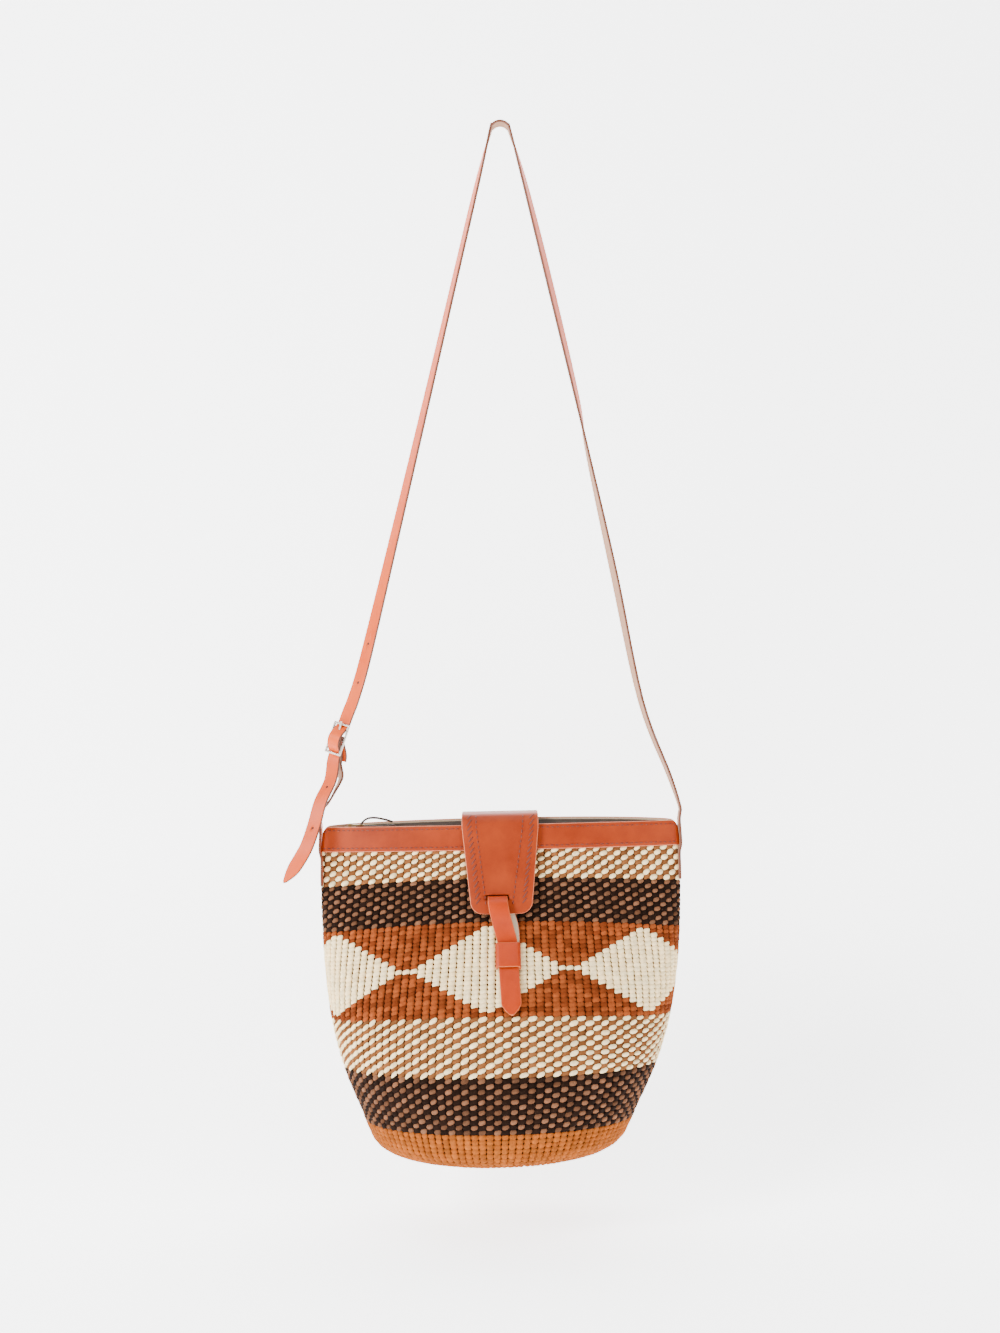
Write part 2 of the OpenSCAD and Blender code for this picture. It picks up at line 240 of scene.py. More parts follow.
class Wire:
    def __init__(self, tree, socket):
        self.tree = tree
        self.socket = socket

    # Any other node, from its type, its settings and its inputs
    def make(self, kind, settings=None, inputs=None, output=0):
        node = self.tree.nodes.new(kind)
        for key, value in (settings or {}).items():
            setattr(node, key, value)
        for key, value in (inputs or {}).items():
            if isinstance(value, Wire):
                self.tree.links.new(value.socket, node.inputs[key])
            else:
                node.inputs[key].default_value = value
        return Wire(self.tree, node.outputs[output])

    def calc(self, operation, *values):
        return self.make("ShaderNodeMath", {"operation": operation}, dict(enumerate(values)))

    def __add__(self, other):
        return self.calc("ADD", self, other)

    def __radd__(self, other):
        return self.calc("ADD", other, self)

    def __sub__(self, other):
        return self.calc("SUBTRACT", self, other)

    def __rsub__(self, other):
        return self.calc("SUBTRACT", other, self)

    def __mul__(self, other):
        return self.calc("MULTIPLY", self, other)

    def __rmul__(self, other):
        return self.calc("MULTIPLY", other, self)

    def __truediv__(self, other):
        return self.calc("DIVIDE", self, other)

    def __rtruediv__(self, other):
        return self.calc("DIVIDE", other, self)

    def __pow__(self, other):
        return self.calc("POWER", self, other)

    def clamp(self):
        return self.make("ShaderNodeMath", {"operation": "MULTIPLY", "use_clamp": True}, {0: self, 1: 1.0})

    def above(self, edge, soft=0.1):
        return ((self - edge) / soft + 0.5).clamp()

    def noise(self, scale, detail=3.0, rough=0.5):
        return self.make("ShaderNodeTexNoise", None,
                         {"Vector": self, "Scale": scale, "Detail": detail, "Roughness": rough})

    def mix(self, first, second):
        return self.make("ShaderNodeMix", {"data_type": "RGBA"}, {0: self, 6: first, 7: second}, 2)

    def stretch(self, x, y, z):
        return self.make("ShaderNodeMapping", None, {"Vector": self, "Scale": (x, y, z)})

    def attribute(self, name, output=2):
        return self.make("ShaderNodeAttribute", {"attribute_name": name}, None, output)

    def into(self, node, name):
        self.tree.links.new(self.socket, node.inputs[name])


def rgb(r, g, b):
    def linear(v):
        v = v / 255
        return v / 12.92 if v <= 0.04045 else ((v + 0.055) / 1.055) ** 2.4
    return (linear(r), linear(g), linear(b), 1.0)


def newMaterial(name, roughness=0.5, metallic=0.0, **more):
    material = bpy.data.materials.new(name)
    material.use_nodes = True
    tree = material.node_tree
    shader = tree.nodes["Principled BSDF"]
    shader.inputs["Roughness"].default_value = roughness
    shader.inputs["Metallic"].default_value = metallic
    for key, value in more.items():
        shader.inputs[key.replace("_", " ")].default_value = value
    here = Wire(tree, tree.nodes.new("ShaderNodeTexCoord").outputs["Object"])
    return material, shader, here


def bump(here, height, strength, distance, shader):
    sockets = {"Height": height, "Strength": strength, "Distance": distance}
    here.make("ShaderNodeBump", None, sockets).into(shader, "Normal")


# Vegetable-tanned leather: mottled grain, fine pores, pale flesh side and a burnished cut edge
def leatherMaterial(name, look):
    material, shader, here = newMaterial(name, look["rough"], 0.0, Specular_IOR_Level=0.2)
    mottle = here.noise(look["mottle"], 4.0, 0.6)
    fine = here.noise(700.0, 3.0, 0.6)
    cells = here.make("ShaderNodeTexVoronoi", {"feature": "F1"}, {"Vector": here, "Scale": 1100.0})
    shade = (mottle * 1.5 - 0.25 + (fine - 0.5) * 0.35).clamp()
    grain = shade.mix(rgb(*look["dark"]), rgb(*look["light"]))
    flesh = (fine * 1.2 - 0.1).clamp().mix(rgb(*look["fleshDark"]), rgb(*look["flesh"]))
    cut = here.attribute("cut")
    edge = (fine * 1.3 - 0.15).clamp().mix(rgb(*look["edgeDark"]), rgb(*look["edge"]))
    colour = cut.above(0.5, 0.3).mix(grain, edge)
    colour = cut.above(1.5, 0.3).mix(colour, flesh)
    colour.into(shader, "Base Color")
    rough = (mottle - 0.5) * 0.25 + look["rough"] + cut.above(1.5, 0.3) * 0.3
    rough.clamp().into(shader, "Roughness")
    bump(here, cells * 0.5 + fine + mottle * 1.5, 0.35, 0.0002, shader)
    return material


leatherLook = {
    "trim": {"light": (146, 50, 5), "dark": (112, 32, 3), "edge": (206, 120, 86), "edgeDark": (168, 84, 54),
             "flesh": (206, 182, 154), "fleshDark": (170, 142, 114), "rough": 0.46, "mottle": 38.0},
    "tuck": {"light": (166, 50, 1), "dark": (136, 38, 1), "edge": (196, 98, 54), "edgeDark": (150, 66, 32),
             "flesh": (206, 186, 162), "fleshDark": (170, 148, 124), "rough": 0.38, "mottle": 55.0},
    "strap": {"light": (208, 84, 22), "dark": (184, 62, 14), "edge": (112, 66, 50), "edgeDark": (76, 44, 34),
              "flesh": (172, 132, 106), "fleshDark": (138, 100, 78), "rough": 0.44, "mottle": 30.0},
    "thong": {"light": (96, 74, 62), "dark": (58, 44, 38), "edge": (70, 52, 44), "edgeDark": (44, 34, 30),
              "flesh": (110, 90, 78), "fleshDark": (78, 62, 54), "rough": 0.5, "mottle": 60.0},
}
trimLeather = leatherMaterial("trimLeather", leatherLook["trim"])
tuckLeather = leatherMaterial("tuckLeather", leatherLook["tuck"])
strapLeather = leatherMaterial("strapLeather", leatherLook["strap"])
thongLeather = leatherMaterial("thongLeather", leatherLook["thong"])


# Twisted plant fibre, coloured by the stitch it is on
def fibreMaterial():
    material, shader, here = newMaterial("sisal", 0.9, 0.0, Specular_IOR_Level=0.05)
    tint = here.attribute("tint", 0)
    hair = here.stretch(1.0, 1.0, 0.35).noise(2600.0, 4.0, 0.7)
    patch = here.noise(240.0, 2.0, 0.5)
    level = ((hair - 0.5) * 0.9 + (patch - 0.5) * 0.7 + 1.0)
    colour = here.make("ShaderNodeVectorMath", {"operation": "SCALE"}, {0: tint, "Scale": level})
    colour.into(shader, "Base Color")
    bump(here, hair, 0.7, 0.00045, shader)
    return material


def threadMaterial(name, light, dark):
    material, shader, here = newMaterial(name, 0.6)
    ply = here.noise(1800.0, 2.0)
    (ply * 1.4 - 0.2).clamp().mix(rgb(*dark), rgb(*light)).into(shader, "Base Color")
    bump(here, ply, 0.5, 0.0002, shader)
    return material


def clothMaterial(name, light, dark, scale):
    material, shader, here = newMaterial(name, 0.9, 0.0, Specular_IOR_Level=0.15)
    wave = {"Vector": here, "Scale": scale, "Distortion": 0.4}
    first = here.make("ShaderNodeTexWave", {"bands_direction": "X"}, wave)
    second = here.make("ShaderNodeTexWave", {"bands_direction": "Z"}, wave)
    soil = here.noise(25.0, 3.0)
    height = first * 0.5 + second * 0.5
    (height * 0.5 + soil * 0.9 - 0.2).clamp().mix(rgb(*dark), rgb(*light)).into(shader, "Base Color")
    bump(here, height, 0.5, 0.0003, shader)
    return material


def metalMaterial(name, light, dark, rough):
    material, shader, here = newMaterial(name, rough, 1.0)
    wear = here.noise(160.0, 5.0, 0.6)
    scratch = here.stretch(1.0, 1.0, 12.0).noise(900.0, 2.0)
    (wear * 1.6 - 0.3).clamp().mix(rgb(*dark), rgb(*light)).into(shader, "Base Color")
    (wear * 0.3 + scratch * 0.12 + rough - 0.2).clamp().into(shader, "Roughness")
    bump(here, scratch + wear, 0.12, 0.0001, shader)
    return material


sisal = fibreMaterial()
darkThread = threadMaterial("darkThread", (110, 36, 8), (60, 16, 4))
cotton = clothMaterial("cotton", (222, 208, 184), (186, 168, 142), 900.0)
tapeCloth = clothMaterial("tapeCloth", (70, 58, 50), (34, 27, 23), 1400.0)
brass = metalMaterial("agedBrass", (196, 168, 118), (120, 96, 66), 0.34)
nickel = metalMaterial("nickel", (214, 206, 196), (168, 156, 146), 0.26)
darkTeeth = metalMaterial("darkTeeth", (92, 78, 64), (48, 40, 34), 0.42)
print("materials made")


# stitches: one Geometry Nodes tree puts a template on every point

# A round stitch, a little fuller in the middle: radius 1 before it is grown
def stitchTemplate(name, sides, levels, power=1.0):
    rings = []
    for k in range(1, levels):
        q = math.pi * k / levels
        r = math.sin(q) ** power
        turns = [2 * math.pi * i / sides for i in range(sides)]
        rings.append([(math.cos(q), r * math.cos(a), r * math.sin(a)) for a in turns])
    obj = closedRings(name, rings, [(1, 0, 0), (-1, 0, 0)])
    bpy.context.scene.collection.objects.unlink(obj)
    return obj


def scatterTree():
    tree = bpy.data.node_groups.new("scatterStitches", "GeometryNodeTree")
    tree.interface.new_socket("Points", in_out="INPUT", socket_type="NodeSocketGeometry")
    tree.interface.new_socket("Template", in_out="INPUT", socket_type="NodeSocketObject")
    tree.interface.new_socket("Uneven", in_out="INPUT", socket_type="NodeSocketFloat")
    tree.interface.new_socket("Turn", in_out="INPUT", socket_type="NodeSocketFloat")
    tree.interface.new_socket("Seed", in_out="INPUT", socket_type="NodeSocketInt")
    tree.interface.new_socket("Material", in_out="INPUT", socket_type="NodeSocketMaterial")
    tree.interface.new_socket("Stitches", in_out="OUTPUT", socket_type="NodeSocketGeometry")
    start = tree.nodes.new("NodeGroupInput")
    end = tree.nodes.new("NodeGroupOutput")

    def node(kind, settings, links):
        made = tree.nodes.new(kind)
        for key, value in settings.items():
            setattr(made, key, value)
        for key, value in links.items():
            if hasattr(value, "is_output"):
                tree.links.new(value, made.inputs[key])
            else:
                made.inputs[key].default_value = value
        return made

    template = node("GeometryNodeObjectInfo", {}, {"Object": start.outputs["Template"]})
    turn = node("GeometryNodeInputNamedAttribute", {"data_type": "FLOAT_VECTOR"}, {"Name": "turn"})
    grow = node("GeometryNodeInputNamedAttribute", {"data_type": "FLOAT_VECTOR"}, {"Name": "grow"})
    less = node("ShaderNodeMath", {"operation": "SUBTRACT"}, {0: 1.0, 1: start.outputs["Uneven"]})
    more = node("ShaderNodeMath", {"operation": "ADD"}, {0: 1.0, 1: start.outputs["Uneven"]})
    random = node("FunctionNodeRandomValue", {"data_type": "FLOAT"}, {"Seed": start.outputs["Seed"]})
    floats = [s for s in random.inputs if s.type == "VALUE" and s.enabled]
    tree.links.new(less.outputs[0], floats[0])
    tree.links.new(more.outputs[0], floats[1])
    sized = node("ShaderNodeVectorMath", {"operation": "SCALE"}, {0: grow.outputs["Attribute"]})
    value = [s for s in random.outputs if s.type == "VALUE" and s.enabled][0]
    tree.links.new(value, sized.inputs["Scale"])
    put = node("GeometryNodeInstanceOnPoints", {}, {"Points": start.outputs["Points"],
                                                    "Instance": template.outputs["Geometry"],
                                                    "Scale": sized.outputs[0]})
    euler = node("FunctionNodeEulerToRotation", {}, {"Euler": turn.outputs["Attribute"]})
    tree.links.new(euler.outputs[0], put.inputs["Rotation"])
    wobble = node("FunctionNodeRandomValue", {"data_type": "FLOAT"}, {"Seed": start.outputs["Seed"]})
    spans = [s for s in wobble.inputs if s.type == "VALUE" and s.enabled]
    minus = node("ShaderNodeMath", {"operation": "MULTIPLY"}, {0: start.outputs["Turn"], 1: -1.0})
    tree.links.new(minus.outputs[0], spans[0])
    tree.links.new(start.outputs["Turn"], spans[1])
    spin = node("ShaderNodeCombineXYZ", {}, {})
    tree.links.new([s for s in wobble.outputs if s.type == "VALUE" and s.enabled][0], spin.inputs["Z"])
    turned = node("GeometryNodeRotateInstances", {}, {"Instances": put.outputs[0]})
    tree.links.new(spin.outputs[0], turned.inputs["Rotation"])
    real = node("GeometryNodeRealizeInstances", {}, {"Geometry": turned.outputs[0]})
    dressed = node("GeometryNodeSetMaterial", {}, {"Geometry": real.outputs[0],
                                                   "Material": start.outputs["Material"]})
    tree.links.new(dressed.outputs[0], end.inputs["Stitches"])
    return tree


stitchTree = scatterTree()
roundStitch = stitchTemplate("roundStitch", 6, 5)
threadStitch = stitchTemplate("threadStitch", 6, 4, 0.6)


# Rotation that sends X along the stitch and Z outward, as Euler angles
def eulers(along, out):
    x = unit(along)
    z = unit(out - np.sum(out * x, 1, keepdims=True) * x)
    y = np.cross(z, x)
    pitch = np.arcsin(np.clip(-x[:, 2], -1, 1))
    yaw = np.arctan2(x[:, 1], x[:, 0])
    roll = np.arctan2(y[:, 2], z[:, 2])
    return np.stack([roll, pitch, yaw], 1)


def scatter(name, points, along, out, grow, material, template, tint=None, uneven=0.0, turn=0.0, seed=1):
    points = np.asarray(points, float)
    host = meshObject(name + "Points", points, [], False)
    addVector(host, "turn", eulers(np.asarray(along, float), np.asarray(out, float)))
    addVector(host, "grow", np.ones((len(points), 3)) * np.asarray(grow, float))
    if tint is not None:
        addColour(host, "tint", tint)
    modifier = host.modifiers.new("stitches", "NODES")
    modifier.node_group = stitchTree
    values = {"Template": template, "Uneven": uneven, "Turn": turn, "Seed": seed, "Material": material}
    for item in stitchTree.interface.items_tree:
        if item.in_out == "INPUT" and item.name in values:
            modifier[item.identifier] = values[item.name]
    host.update_tag()
    graph = bpy.context.evaluated_depsgraph_get()
    graph.update()
    mesh = bpy.data.meshes.new_from_object(host.evaluated_get(graph))
    mesh.name = name
    mesh.shade_smooth()
    obj = bpy.data.objects.new(name, mesh)
    bpy.context.scene.collection.objects.link(obj)
    if not mesh.materials:
        mesh.materials.append(material)
    bpy.data.objects.remove(host)
    return obj


# woven basket

weave = {
    "front": [21.0, 46, 82, 156, 203, 249, 282],
    "side": [21.0, 53, 92, 166, 207, 253, 282],
    "rows": [7, 10, 21, 12, 11, 8],
    "cream": (236, 210, 160),
    # tan is the ground between the cream nubs: a tan yarn, darkened further as painted shade for the gaps
    "tan": (114, 70, 38),
    "dark": (26, 14, 8),
    "taupe": (100, 66, 46),
    "rust": (130, 62, 26),
    "rustDeep": (102, 45, 17),
    "base": (138, 72, 24),
}


def tone(rng, colour, spread):
    r, g, b, _ = rgb(*colour)
    level = 1 + rng.uniform(-spread, spread)
    warm = rng.uniform(-0.04, 0.04)
    return (r * level * (1 + warm), g * level, b * level * (1 - warm))


# Depth of a row at a rib: bands dip towards the side seams
def rowDepth(band, share, angle):
    f = weave["front"]
    s = weave["side"]
    side = np.cos(angle) ** 2
    front = f[band] + (f[band + 1] - f[band]) * share
    edge = s[band] + (s[band + 1] - s[band]) * share
    return front + (edge - front) * side


def weaveCells():
    rng = np.random.default_rng(7)
    ribs = basket["ribs"]
    table = np.arange(0, 283, 3.0)
    angles = np.array([ribAngles(d, ribs) for d in table])
    cells = []
    for band, rows in enumerate(weave["rows"]):
        for j in range(rows):
            share = (j + 0.5) / rows
            for i in range(ribs):
                t = np.interp(weave["front"][band] + 10, table, angles[:, i])
                for _ in range(3):
                    d = float(rowDepth(band, share, t))
                    t = float(np.interp(d, table, angles[:, i]))
                below = float(rowDepth(band, share + 0.5 / rows, t))
                above = float(rowDepth(band, share - 0.5 / rows, t))
                cells.append((band, j, i, d, t, below - above))
    return cells, rng


def diamond(i, j):
    ribs = basket["ribs"]
    # the diamonds repeat every 21 ribs; the middle one is just left of the flap's slot
    front = 0.75 * ribs - 2.6
    along = (i - front + 10.5) % 21 - 10.5
    up = j - 10
    return abs(along) / 9.9 + abs(up) / 9.9 <= 1 or up == 0


def buildWeave():
    cells, rng = weaveCells()
    ribs = basket["ribs"]
    band = np.array([c[0] for c in cells])
    d = np.array([c[3] for c in cells])
    t = np.array([c[4] for c in cells])
    rise = np.array([c[5] for c in cells])
    p, n2 = sectionAt(d, t)
    a, _ = sectionAt(d, t + 0.01)
    b, _ = sectionAt(d, t - 0.01)
    row = unit(a - b)
    lower, _ = sectionAt(d + 1, t)
    upper, _ = sectionAt(d - 1, t)
    down = unit(lower - upper)
    out = unit(np.cross(down, row))
    out *= np.sign(np.sum(out * np.concatenate([n2, np.zeros((len(n2), 1))], 1), 1, keepdims=True))
    # how wide a rib is and how tall a row is, along the surface
    levels = np.arange(0, 283, 3.0)
    around = np.linspace(0, 2 * math.pi, 181)[:-1]
    sections = [sectionAt(v, around)[0] for v in levels]
    loop = np.array([np.linalg.norm(np.diff(np.vstack([q, q[:1]]), axis=0), axis=1).sum() for q in sections])
    pitch = np.interp(d, levels, loop) / ribs
    tall = rise * np.linalg.norm(lower - upper, axis=1) / 2
    tint = []
    grow = []
    lift = []
    slant = []
    for k, (bandOf, j, i, _, _, _) in enumerate(cells):
        w, h = pitch[k], tall[k]
        dot = (i + j) % 2 == 0
        if bandOf in (0, 3):
            # cream nubs on a tan ground whose colour is partly painted shade
            colour = weave["cream"] if dot else weave["tan"]
            size = (w * 0.58, h * 0.56, 1.85) if dot else (w * 0.6, h * 0.66, 1.3)
            tint.append(tone(rng, colour, 0.12 if dot else 0.25))
            lift.append(-0.55 if dot else -1.0)
            slant.append(28 + rng.uniform(-9, 9))
        elif bandOf in (1, 4):
            colour = weave["taupe"] if dot else weave["dark"]
            size = (w * 0.5, h * 0.6, 1.75) if dot else (w * 0.62, h * 0.8, 1.5)
            tint.append(tone(rng, colour, 0.42 if dot else 0.25))
            lift.append(-0.6 if dot else -0.75)
            slant.append(24 + rng.uniform(-8, 8))
        elif bandOf == 2:
            pale = diamond(i, j)
            colour = weave["cream"] if pale else weave["rust"] if rng.uniform() < 0.6 else weave["rustDeep"]
            size = (w * 0.52, h * 0.76, 1.7)
            tint.append(tone(rng, colour, 0.07 if pale else 0.14))
            lift.append(-0.6)
            slant.append(27 + rng.uniform(-5, 5))
        else:
            size = (w * 0.52, h * 0.76, 1.6)
            tint.append(tone(rng, weave["base"], 0.18))
            lift.append(-0.6)
            slant.append(27 + rng.uniform(-6, 6))
        grow.append(size)
    grow = np.array(grow)
    lift = np.array(lift)[:, None]
    angle = np.radians(np.array(slant))[:, None]
    # every stitch leans the same way as seen from outside: up to the right
    right = np.cross(-down, out)
    along = right * np.cos(angle) - down * np.sin(angle)
    world = fromBag(p + out * lift)
    turned = fromBag(p + out * lift + along) - world
    facing = fromBag(p + out * lift + out) - world
    pieces = []
    names = ["creamBand", "darkBand", "diamondBand", "lowerCreamBand", "lowerDarkBand", "rustBand"]
    for k, name in enumerate(names):
        pick = band == k
        pieces.append(scatter(name, world[pick], turned[pick], facing[pick], grow[pick] / 1000, sisal,
                              roundStitch, np.array(tint)[pick], 0.07, 0.0, 11 + k))
    return pieces


def buildBase():
    rng = np.random.default_rng(19)
    a, b = 84.0, 65.0
    points, along, out, grow, tint = [], [], [], [], []
    rows = 18
    for k in range(rows):
        f = 1 - (k + 0.35) / rows
        loop = math.pi * (3 * (a + b) - math.sqrt((3 * a + b) * (a + 3 * b))) * f
        count = max(5, int(round(loop / 6.2)))
        for i in range(count):
            q = 2 * math.pi * (i + 0.5 * (k % 2)) / count
            points.append((a * f * math.cos(q) - basket["sag"], b * f * math.sin(q),
                           -basket["height"] + 0.55))
            x = unit([-a * math.sin(q), b * math.cos(q), 0])
            r = unit([a * math.cos(q), b * math.sin(q), 0])
            along.append(x * 0.94 + r * 0.34)
            out.append((0, 0, -1))
            grow.append((3.4, 2.35, 1.6))
            tint.append(tone(rng, weave["base"], 0.2))
    world = fromBag(points)
    turned = fromBag(np.array(points) + along) - world
    facing = fromBag(np.array(points) + out) - world
    return scatter("baseCoil", world, turned, facing, np.array(grow) / 1000, sisal, roundStitch, tint,
                   0.08, 0.0, 31)


# The wall behind the stitches and the lining: closed cups with a flat floor
def cup(name, top, outer, inner, floorOut, floorIn, colour=None, ripple=0.0):
    count = 140
    tall = basket["height"]
    depthsOut = np.concatenate([[top], np.arange(10, tall - floorOut - 1, 4.0), [tall - floorOut]])
    depthsIn = np.concatenate([[top], np.arange(10, tall - floorIn - 1, 4.0), [tall - floorIn]])
    t = np.linspace(0, 2 * math.pi, count + 1)[:-1]
    rings = []
    for v in depthsOut:
        rings.append(sectionAt(np.full(count, v), t, np.full(count, outer))[0])
    inside = []
    for v in depthsIn:
        folds = np.sin(t * 9 + v * 0.07) + 0.6 * np.sin(t * 17 - v * 0.11) - 1.6
        wave = ripple * min(1, (v - top) / 30) * folds
        inside.append(sectionAt(np.full(count, v), t, np.full(count, inner) + wave)[0])
    rings = rings[::-1] + inside
    rings = fromBag(np.array(rings))
    lean = -basket["sag"]
    poles = fromBag(np.array([[lean, 0, -tall + floorOut], [lean, 0, -tall + floorIn]]))
    obj = closedRings(name, rings, poles)
    # the band tints on the under-shell carry painted shade for the gaps between stitches
    if colour is not None:
        depths = list(depthsOut[::-1]) + list(depthsIn)
        tints = []
        for k, v in enumerate(depths):
            for q in t:
                edge = [rowDepth(b, 0, q) for b in range(6)]
                band = max(0, int(np.searchsorted(edge, v)) - 1)
                tints.append(colour[min(band, 5)][:3] if k < len(depthsOut) else colour[6][:3])
        tints += [colour[5][:3], colour[6][:3]]
        addColour(obj, "tint", tints)
    return obj


# Under-shell colour per band, seen in the gaps between stitches: each band's colour darkened as painted
# shade; the last is the inner face
bandUnder = [rgb(60, 30, 12), rgb(14, 8, 5), rgb(56, 20, 6), rgb(64, 32, 13), rgb(14, 8, 5),
             rgb(60, 24, 6), rgb(150, 110, 80)]
basketCore = cup("basketCore", 6.5, -1.35, -3.0, 1.2, 3.0, bandUnder)
basketCore.data.materials.append(sisal)
weavePieces = buildWeave() + [buildBase()]
for piece in [basketCore] + weavePieces:
    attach(piece, "bag")
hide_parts("woven_body")
lining = cup("cottonLining", 7.5, -3.2, -3.9, 3.2, 3.9, None, 0.5)
lining.data.materials.append(cotton)
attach(lining, "bag")
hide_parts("lining")
print("basket woven")


# rim bands

rim = {"height": 22, "thick": 2, "fit": 0.2, "backRise": 4.5, "pitch": 4.4, "inset": 3.2, "corner": 7}


# Rows of points at the middle of the band's thickness, along its top and bottom edge
def bandEdges(first, last, rise):
    a = np.radians(np.linspace(first, last, 141))
    off = np.full(141, rim["fit"] + rim["thick"] / 2)
    top = sectionAt(np.zeros(141), a, off)[0]
    low = sectionAt(np.full(141, float(rim["height"])), a, off)[0]
    top[:, 2] = rise * np.abs(np.sin(a))
    run = np.concatenate([[0], np.cumsum(np.linalg.norm(np.diff(top, axis=0), axis=1))])
    c = rim["corner"]
    for q in (run, run[-1] - run):
        near = np.clip(c - q, 0, c)
        top[:, 2] -= c - np.sqrt(np.maximum(c * c - near * near, 0))
    return top, low, run


def rimBand(name, node, first, last, rise):
    top, low, run = bandEdges(first, last, rise)
    rows = (top + low) / 2
    half = np.linalg.norm(top - low, axis=1) / 2
    obj = ribbon(name, fromBag(rows) * 1000, fromBag(top) - fromBag(low), half, rim["thick"], 1,
                 square=False)
    obj.data.materials.append(trimLeather)
    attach(obj, "bag")
    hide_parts(node)
    return obj


def runStitches(name, path, out, pitch, length, width, material, body, lift=0.25):
    path = np.asarray(path, float)
    run = np.concatenate([[0], np.cumsum(np.linalg.norm(np.diff(path, axis=0), axis=1))])
    at = np.arange(pitch / 2, run[-1], pitch)
    p = np.stack([np.interp(at, run, path[:, k]) for k in range(3)], 1)
    q = np.stack([np.interp(at + 0.5, run, path[:, k]) for k in range(3)], 1)
    q0 = np.stack([np.interp(at - 0.5, run, path[:, k]) for k in range(3)], 1)
    n = unit(np.stack([np.interp(at, run, np.asarray(out)[:, k]) for k in range(3)], 1))
    world = p + n * lift
    obj = scatter(name, world / 1000, q - q0, n, np.array([length / 2, width / 2, 0.42]) / 1000, material,
                  threadStitch, None, 0.12, 0.0, 5)
    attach(obj, body)
    return obj


def rimStitches(name, first, last, rise):
    top, low, run = bandEdges(first, last, rise)
    a = fromBag(top) * 1000
    b = fromBag(low) * 1000
    down = unit(b - a)
    along = unit(np.gradient(a, axis=0))
    out = unit(np.cross(down, along))
    keep = slice(4, -4)
    face = rim["thick"] / 2
    runStitches(name + "Top", (a + down * rim["inset"] + out * face)[keep], out[keep], rim["pitch"], 2.9, 1.1,
                darkThread, "bag", 0.1)
    runStitches(name + "Low", (b - down * rim["inset"] + out * face)[keep], out[keep], rim["pitch"], 3.1, 1.1,
                darkThread, "bag", 0.1)


rimBand("rimLeatherFront", "rim_band_front", 181.5, 358.5, 0)
rimBand("rimLeatherBack", "rim_band_back", 1.5, 178.5, rim["backRise"])
rimStitches("rimThreadFront", 181.5, 358.5, 0)
rimStitches("rimThreadBack", 1.5, 178.5, rim["backRise"])
print("rim bands made")


# flap

flap = {
    "thick": 2,
    "top": [-23, -2],
    "low": [-42.2, -75],
    "topWidth": 67,
    "lowWidth": 54,
    "corner": 11,
    "over": [[20.4, 6.2], [19.6, 8], [17, 9.3], [10, 9.7], [0, 9.5], [-12, 8.9], [-18, 7.4], [-21.4, 3.6],
             [-23, -2]],
    "root": [[25.8, -27], [24.4, -20], [22.6, -8], [21.3, 0], [20.8, 3.4]],
    "slot": (-3.4, -61.5, 19.0, 4.4),
}


def flapRows():
    over = smoothPath(flap["root"][:-1] + [[20.7, 3]] + flap["over"], 4)
    rows = [(p[0], p[1], flap["topWidth"] / 2) for p in over]
    top = np.array(flap["top"], float)
    lowEnd = np.array(flap["low"], float)
    long = np.linalg.norm(lowEnd - top)
    way = (lowEnd - top) / long
    corner = flap["corner"]
    for d in np.linspace(3, long - corner, 22):
        p = top + way * d
        half = flap["topWidth"] / 2 + (flap["lowWidth"] - flap["topWidth"]) / 2 * d / (long - corner)
        rows.append((p[0], p[1], half))
    for a in range(10, 91, 8):
        p = top + way * (long - corner * (1 - math.sin(math.radians(a))))
        rows.append((p[0], p[1], flap["lowWidth"] / 2 - corner * (1 - math.cos(math.radians(a)))))
    return np.array(rows)


def boxObject(name, centre, size, turn=0.0):
    x, y, z = [v / 2 for v in size]
    c, s = math.cos(turn), math.sin(turn)
    pts = []
    for sx in (-1, 1):
        for sy in (-1, 1):
            for sz in (-1, 1):
                py, pz = sy * y * c - sz * z * s, sy * y * s + sz * z * c
                pts.append((centre[0] + sx * x, centre[1] + py, centre[2] + pz))
    faces = [(0, 1, 3, 2), (4, 6, 7, 5), (0, 4, 5, 1), (2, 3, 7, 6), (0, 2, 6, 4), (1, 5, 7, 3)]
    return meshObject(name, fromBag(np.array(pts)), faces, False)


# Cuts one solid out of another and keeps the result as a plain mesh
def cutAway(obj, cutter):
    modifier = obj.modifiers.new("cut", "BOOLEAN")
    modifier.operation = "DIFFERENCE"
    modifier.solver = "EXACT"
    modifier.object = cutter
    graph = bpy.context.evaluated_depsgraph_get()
    graph.update()
    mesh = bpy.data.meshes.new_from_object(obj.evaluated_get(graph))
    obj.modifiers.clear()
    old = obj.data
    obj.data = mesh
    bpy.data.meshes.remove(old)
    bpy.data.objects.remove(cutter)


def buildFlap():
    rows = flapRows()
    centres = np.stack([np.zeros(len(rows)), rows[:, 0], rows[:, 1]], 1)
    obj = ribbon("flapLeather", fromBag(centres) * 1000, fromBag([[1, 0, 0]])[0] - fromBag([[0, 0, 0]])[0],
                 rows[:, 2], flap["thick"], 1)
    x, z, w, h = flap["slot"]
    lean = math.atan2(flap["top"][0] - flap["low"][0], flap["top"][1] - flap["low"][1])
    down = (z - flap["top"][1]) / (flap["low"][1] - flap["top"][1])
    y = flap["top"][0] + (flap["low"][0] - flap["top"][0]) * down
    cutAway(obj, boxObject("slotCutter", (x, y, z), (w, 6, h), -lean))
    obj.data.materials.append(trimLeather)
    tuple(fromBag([0, 21.4, 1.5]))
    tuple(fromBag([0, 16.7, 3.2]))
    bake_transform(obj)
    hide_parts("flap", "flap_root")
    return obj


